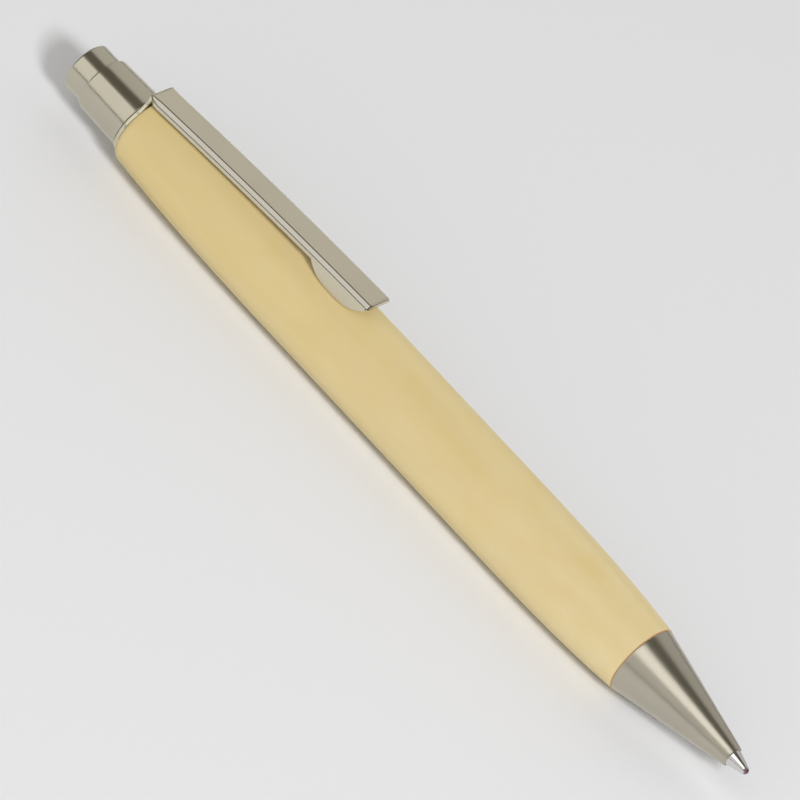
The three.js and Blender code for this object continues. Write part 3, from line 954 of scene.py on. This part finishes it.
def section_points(settings, top, under, outward, cut, inset):
    """One closed section of the clip, as points across it in order from the left cut edge's foot."""
    half = corner_half(settings) - cut / 2 - inset
    side = half + cut
    # Painted shade strips border each cut edge, above and below it.
    upper_edge_shade = min(settings.upper_edge_shade, cut / 3)
    lower_edge_shade = min(settings.lower_edge_shade, cut / 3)
    left = [
        (-side, cut),
        (-side + lower_edge_shade, cut - lower_edge_shade),
        (-half - upper_edge_shade, upper_edge_shade),
        (-half, 0.0),
    ]
    points = []
    for across, depth in left + [(-across, depth) for across, depth in reversed(left)]:
        place = top - outward * depth
        points.append(Vector((place.x, across, place.y)))

    under_steps = 8
    soften = settings.rim
    flat = [((side - soften) * (1 - 2 * i / under_steps), 0.0) for i in range(under_steps + 1)]
    inward = (top - under).normalized()
    for across, rise in [(side, soften)] + flat + [(-side, soften)]:
        place = under + inward * rise
        height = place.y
        if under.x > RING_FRONT + FLEX_LENGTH:
            height = max(height, wood_top(under.x, across) + settings.rest_gap + rise)
        points.append(Vector((place.x, across, height)))
    return points


def clip_strip(settings, mesh):
    """Neck, bar and foot as one tube of sections, with a cut edge along each side of the top."""
    sections = clip_sections(settings)
    rings = []
    for top, under, outward in sections[:-1]:
        cut = cut_width(settings, top.x)
        rings.append(section_points(settings, top, under, outward, cut, corner_inset(settings, top.x)))

    top, under, outward = sections[-1]
    round_steps = 3
    drop_share = 0.3
    radius = settings.front_round
    for i in range(round_steps + 1):
        angle = i / round_steps * math.pi / 2
        back = Vector((radius * (1 - math.sin(angle)), 0))
        inset = radius * (1 - math.cos(angle))
        drop = Vector((0, drop_share * inset))
        end_top = top - back - drop
        rings.append(section_points(settings, end_top, under - back, outward, settings.chamfer, inset))

    rows = [[mesh.verts.new((p.x, p.y, AXIS_HEIGHT + p.z)) for p in ring] for ring in rings]
    # The dark slot paints shade on the strips beside each cut edge.
    top_slots = [EDGE_SHADE_PAINT, CUT_EDGE, EDGE_SHADE_PAINT, FLAT, EDGE_SHADE_PAINT, CUT_EDGE, EDGE_SHADE_PAINT]
    slots = top_slots + [FLAT] * (len(rows[0]) - len(top_slots))
    faces = join_rows(mesh, rows)
    for face, slot in zip(faces, slots * (len(rows) - 1)):
        face.material_index = slot
    front_faces = faces[-len(slots):]
    # Painted shade also as a dark band on the top of the rounded front end.
    front_faces[top_slots.index(FLAT)].material_index = EDGE_SHADE_PAINT
    mesh.faces.new(rows[0])
    mesh.faces.new(reversed(rows[-1]))


class PEN_OT_clip(bpy.types.Operator):
    """Form the clip with its ring, neck, bar and foot in one piece"""

    bl_idname = "pen.clip"
    bl_label = "Clip"

    def execute(self, context):
        settings = context.scene.pen_clip
        metal = context.scene.pen_metal
        centre = axis_point(RING_REAR)
        brushed = (50, 900, 900)
        cut = (60, 3000, 3000)
        cut_roughness = 0.18
        edge_shade_roughness = 0.4
        finishes = [
            satin_metal("satin_clip", metal.clip, metal.clip_roughness, brushed, centre, strength=0.004),
            satin_metal("cut_edge", metal.chamfer, cut_roughness, cut, centre, strength=0.02),
            # Dark metal for the painted shade beside the cut edges.
            satin_metal("painted_edge_shade", metal.line, edge_shade_roughness, cut, centre, strength=0.02),
        ]
        joined = bmesh.new()
        clip_plate(settings, joined)
        clip_strip(settings, joined)
        bmesh.ops.recalc_face_normals(joined, faces=joined.faces)
        piece = make_object(joined, "sprung_clip", finishes)
        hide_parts("clip_ring", "clip_bar")
        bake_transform(piece)
        return {"FINISHED"}


class PEN_OT_spring(bpy.types.Operator):
    """Wind the return spring as one fixed coil; the real spring shortens and stretches with the button"""

    bl_idname = "pen.spring"
    bl_label = "Return Spring"

    def execute(self, context):
        metal = context.scene.pen_metal
        wire_radius = 0.2 * MM
        coil_radius = 2.3 * MM
        turns = 8
        steps = 36 * turns
        rear = spring_low.x + wire_radius
        length = spring_high.x - spring_low.x - 2 * wire_radius
        outward = Vector((0, 1, 0))
        ahead = Vector((length / (2 * math.pi * turns), 0, coil_radius)).normalized()
        across = ahead.cross(outward)
        section = Matrix((outward, across, ahead)).transposed().to_4x4()
        section.translation = axis_point(rear) + outward * coil_radius
        mesh = bmesh.new()
        bmesh.ops.create_circle(mesh, cap_ends=True, segments=12, radius=wire_radius, matrix=section)
        bmesh.ops.spin(
            mesh,
            geom=mesh.verts[:] + mesh.edges[:] + mesh.faces[:],
            cent=axis_point(),
            axis=(1, 0, 0),
            dvec=(length / steps, 0, 0),
            angle=2 * math.pi * turns,
            steps=steps,
        )
        bmesh.ops.recalc_face_normals(mesh, faces=mesh.faces)
        finish = turned_metal("spring_steel", metal.steel, metal.inside_roughness)
        piece = make_object(mesh, "wound_spring", [finish])
        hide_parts("return_spring")
        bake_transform(piece)
        return {"FINISHED"}


class PEN_OT_inside(bpy.types.Operator):
    """Give the pieces inside the barrel their finishes"""

    bl_idname = "pen.inside"
    bl_label = "Inside Pieces"

    def execute(self, context):
        metal = context.scene.pen_metal
        brass = turned_metal("turned_brass", metal.brass, metal.inside_roughness)
        steel = turned_metal("refill_steel", metal.steel, metal.inside_roughness)
        white = moulded_plastic("white_plastic", (0.80, 0.79, 0.74))
        black = moulded_plastic("black_plastic", (0.03, 0.03, 0.032))
        finishes = {
            "liner_tube": brass,
            "front_bush": brass,
            "rear_bush": brass,
            "cam_housing": brass,
            "refill_tube": steel,
            "refill_neck": steel,
            "refill_plug": black,
            "plunger": white,
            "rotor": white,
        }
        for node, finish in finishes.items():
            node_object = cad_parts[node]
            node_object.data.materials.clear()
            node_object.data.materials.append(finish)
        return {"FINISHED"}


def soft_panel(name, lean, height, distance, size, radiance):
    """A flat soft light that faces the pen. It leans from the pen's cross plane towards +X, and its height
    is counted in that plane from the -Y horizon over the top."""
    light = bpy.data.lights.new(name, "AREA")
    light.shape = "RECTANGLE"
    light.size, light.size_y = size
    light.energy = radiance * math.pi * size[0] * size[1]
    panel = bpy.data.objects.new(name, light)
    turn, rise = math.radians(lean), math.radians(height)
    away = Vector((math.sin(turn), -math.cos(turn) * math.cos(rise), math.cos(turn) * math.sin(rise)))
    along = Vector((1, 0, 0)) - away * away.x
    along.normalize()
    across = away.cross(along)
    facing = Matrix((along, across, away)).transposed().to_4x4()
    panel.matrix_world = Matrix.Translation(axis_point() + away * distance) @ facing
    panel.visible_camera = False
    bpy.context.scene.collection.objects.link(panel)
    return panel


class PEN_OT_stage(bpy.types.Operator):
    """Lay the floor, hang the lights and aim the camera"""

    bl_idname = "pen.stage"
    bl_label = "Stage"

    def execute(self, context):
        settings = context.scene.pen_stage
        self.lay_floor(settings)
        self.hang_lights(context, settings)
        self.aim_camera(context, settings)
        return {"FINISHED"}

    def lay_floor(self, settings):
        """Wide matt floor with a fine tooth."""
        mesh = bmesh.new()
        bmesh.ops.create_grid(mesh, x_segments=1, y_segments=1, size=2.0)
        nodes = Nodes("pale_floor")
        tooth = nodes.noise(nodes.place((0, 0, 0), (900, 900, 900)), detail=2.0)
        nodes.surface(
            Base_Color=nodes.mix(tooth, opaque(settings.floor, 0.99), opaque(settings.floor)),
            Roughness=0.75,
        )
        make_object(mesh, "floor", [nodes.material])

    def hang_lights(self, context, settings):
        """Light from all round, and panels that light either only glossy or only matt surfaces."""
        world = bpy.data.worlds.new("studio")
        world.use_nodes = True
        background = world.node_tree.nodes["Background"]
        background.inputs["Color"].default_value = opaque(settings.surround)
        background.inputs["Strength"].default_value = settings.surround_strength
        context.scene.world = world
        for name, (lean, height, size, radiance) in GLOSSY_PANELS.items():
            soft_panel(name, lean, height, GLOSSY_DISTANCE, size, radiance).visible_diffuse = False
        for name, (lean, height, size, radiance) in MATT_PANELS.items():
            soft_panel(name, lean, height, MATT_DISTANCE, size, radiance).visible_glossy = False

    def aim_camera(self, context, settings):
        """Camera found from the photograph, by its place in the pen's frame. Tilt, lift and roll are in
        radians."""
        station = button_low.x + 474.07 * MM
        distance = 1229.91 * MM
        clip_roll = math.radians(48)
        picture_turn = math.radians(47.234)
        tilt = 0.319799
        lift = 0.0001285
        roll = -0.0060240
        along = Vector((1, 0, 0))
        across = Vector((0, math.cos(clip_roll), math.sin(clip_roll)))
        towards = Vector((0, -math.sin(clip_roll), math.cos(clip_roll)))
        forward = -(math.sin(tilt) * along + math.cos(tilt) * towards)
        right = math.cos(tilt) * along - math.sin(tilt) * towards
        lifted = math.cos(lift) * across - math.sin(lift) * forward
        forward = math.cos(lift) * forward + math.sin(lift) * across
        pen_right = math.cos(roll) * right + math.sin(roll) * lifted
        pen_up = -math.sin(roll) * right + math.cos(roll) * lifted
        camera_right = math.cos(picture_turn) * pen_right + math.sin(picture_turn) * pen_up
        camera_up = -math.sin(picture_turn) * pen_right + math.cos(picture_turn) * pen_up
        data = bpy.data.cameras.new("camera")
        data.sensor_width = 36
        data.lens = settings.lens
        data.clip_start = 0.1
        data.clip_end = 20
        camera = bpy.data.objects.new("camera", data)
        turn = Matrix((camera_right, camera_up, -forward)).transposed().to_4x4()
        camera.matrix_world = Matrix.Translation(axis_point(station) + towards * distance) @ turn
        context.scene.collection.objects.link(camera)
        context.scene.camera = camera
        context.scene.view_settings.view_transform = "Standard"
        context.scene.view_settings.look = "None"


class PEN_PT_sidebar(bpy.types.Panel):
    """Lists the buttons that make the pen's pieces and its stage"""

    bl_label = "Wooden Ballpoint Pen"
    bl_idname = "PEN_PT_sidebar"
    bl_space_type = "VIEW_3D"
    bl_region_type = "UI"
    bl_category = "Pen"

    def draw(self, context):
        for operator in OPERATORS:
            self.layout.operator(operator.bl_idname)


SETTINGS = {
    "pen_barrel": BarrelSettings,
    "pen_metal": MetalSettings,
    "pen_clip": ClipSettings,
    "pen_stage": StageSettings,
}
OPERATORS = (
    PEN_OT_barrel, PEN_OT_cone, PEN_OT_button, PEN_OT_point, PEN_OT_clip, PEN_OT_spring, PEN_OT_inside,
    PEN_OT_stage,
)


def register():
    for group in SETTINGS.values():
        bpy.utils.register_class(group)
    for name, group in SETTINGS.items():
        setattr(bpy.types.Scene, name, bpy.props.PointerProperty(type=group))
    for operator in OPERATORS:
        bpy.utils.register_class(operator)
    bpy.utils.register_class(PEN_PT_sidebar)


def unregister():
    bpy.utils.unregister_class(PEN_PT_sidebar)
    for operator in reversed(OPERATORS):
        bpy.utils.unregister_class(operator)
    for name in SETTINGS:
        delattr(bpy.types.Scene, name)
    for group in reversed(SETTINGS.values()):
        bpy.utils.unregister_class(group)


def main():
    register()
    bpy.ops.pen.barrel()
    bpy.ops.pen.cone()
    bpy.ops.pen.button()
    bpy.ops.pen.point()
    bpy.ops.pen.clip()
    bpy.ops.pen.spring()
    bpy.ops.pen.inside()
    bpy.ops.pen.stage()


if __name__ == "__main__":
    main()
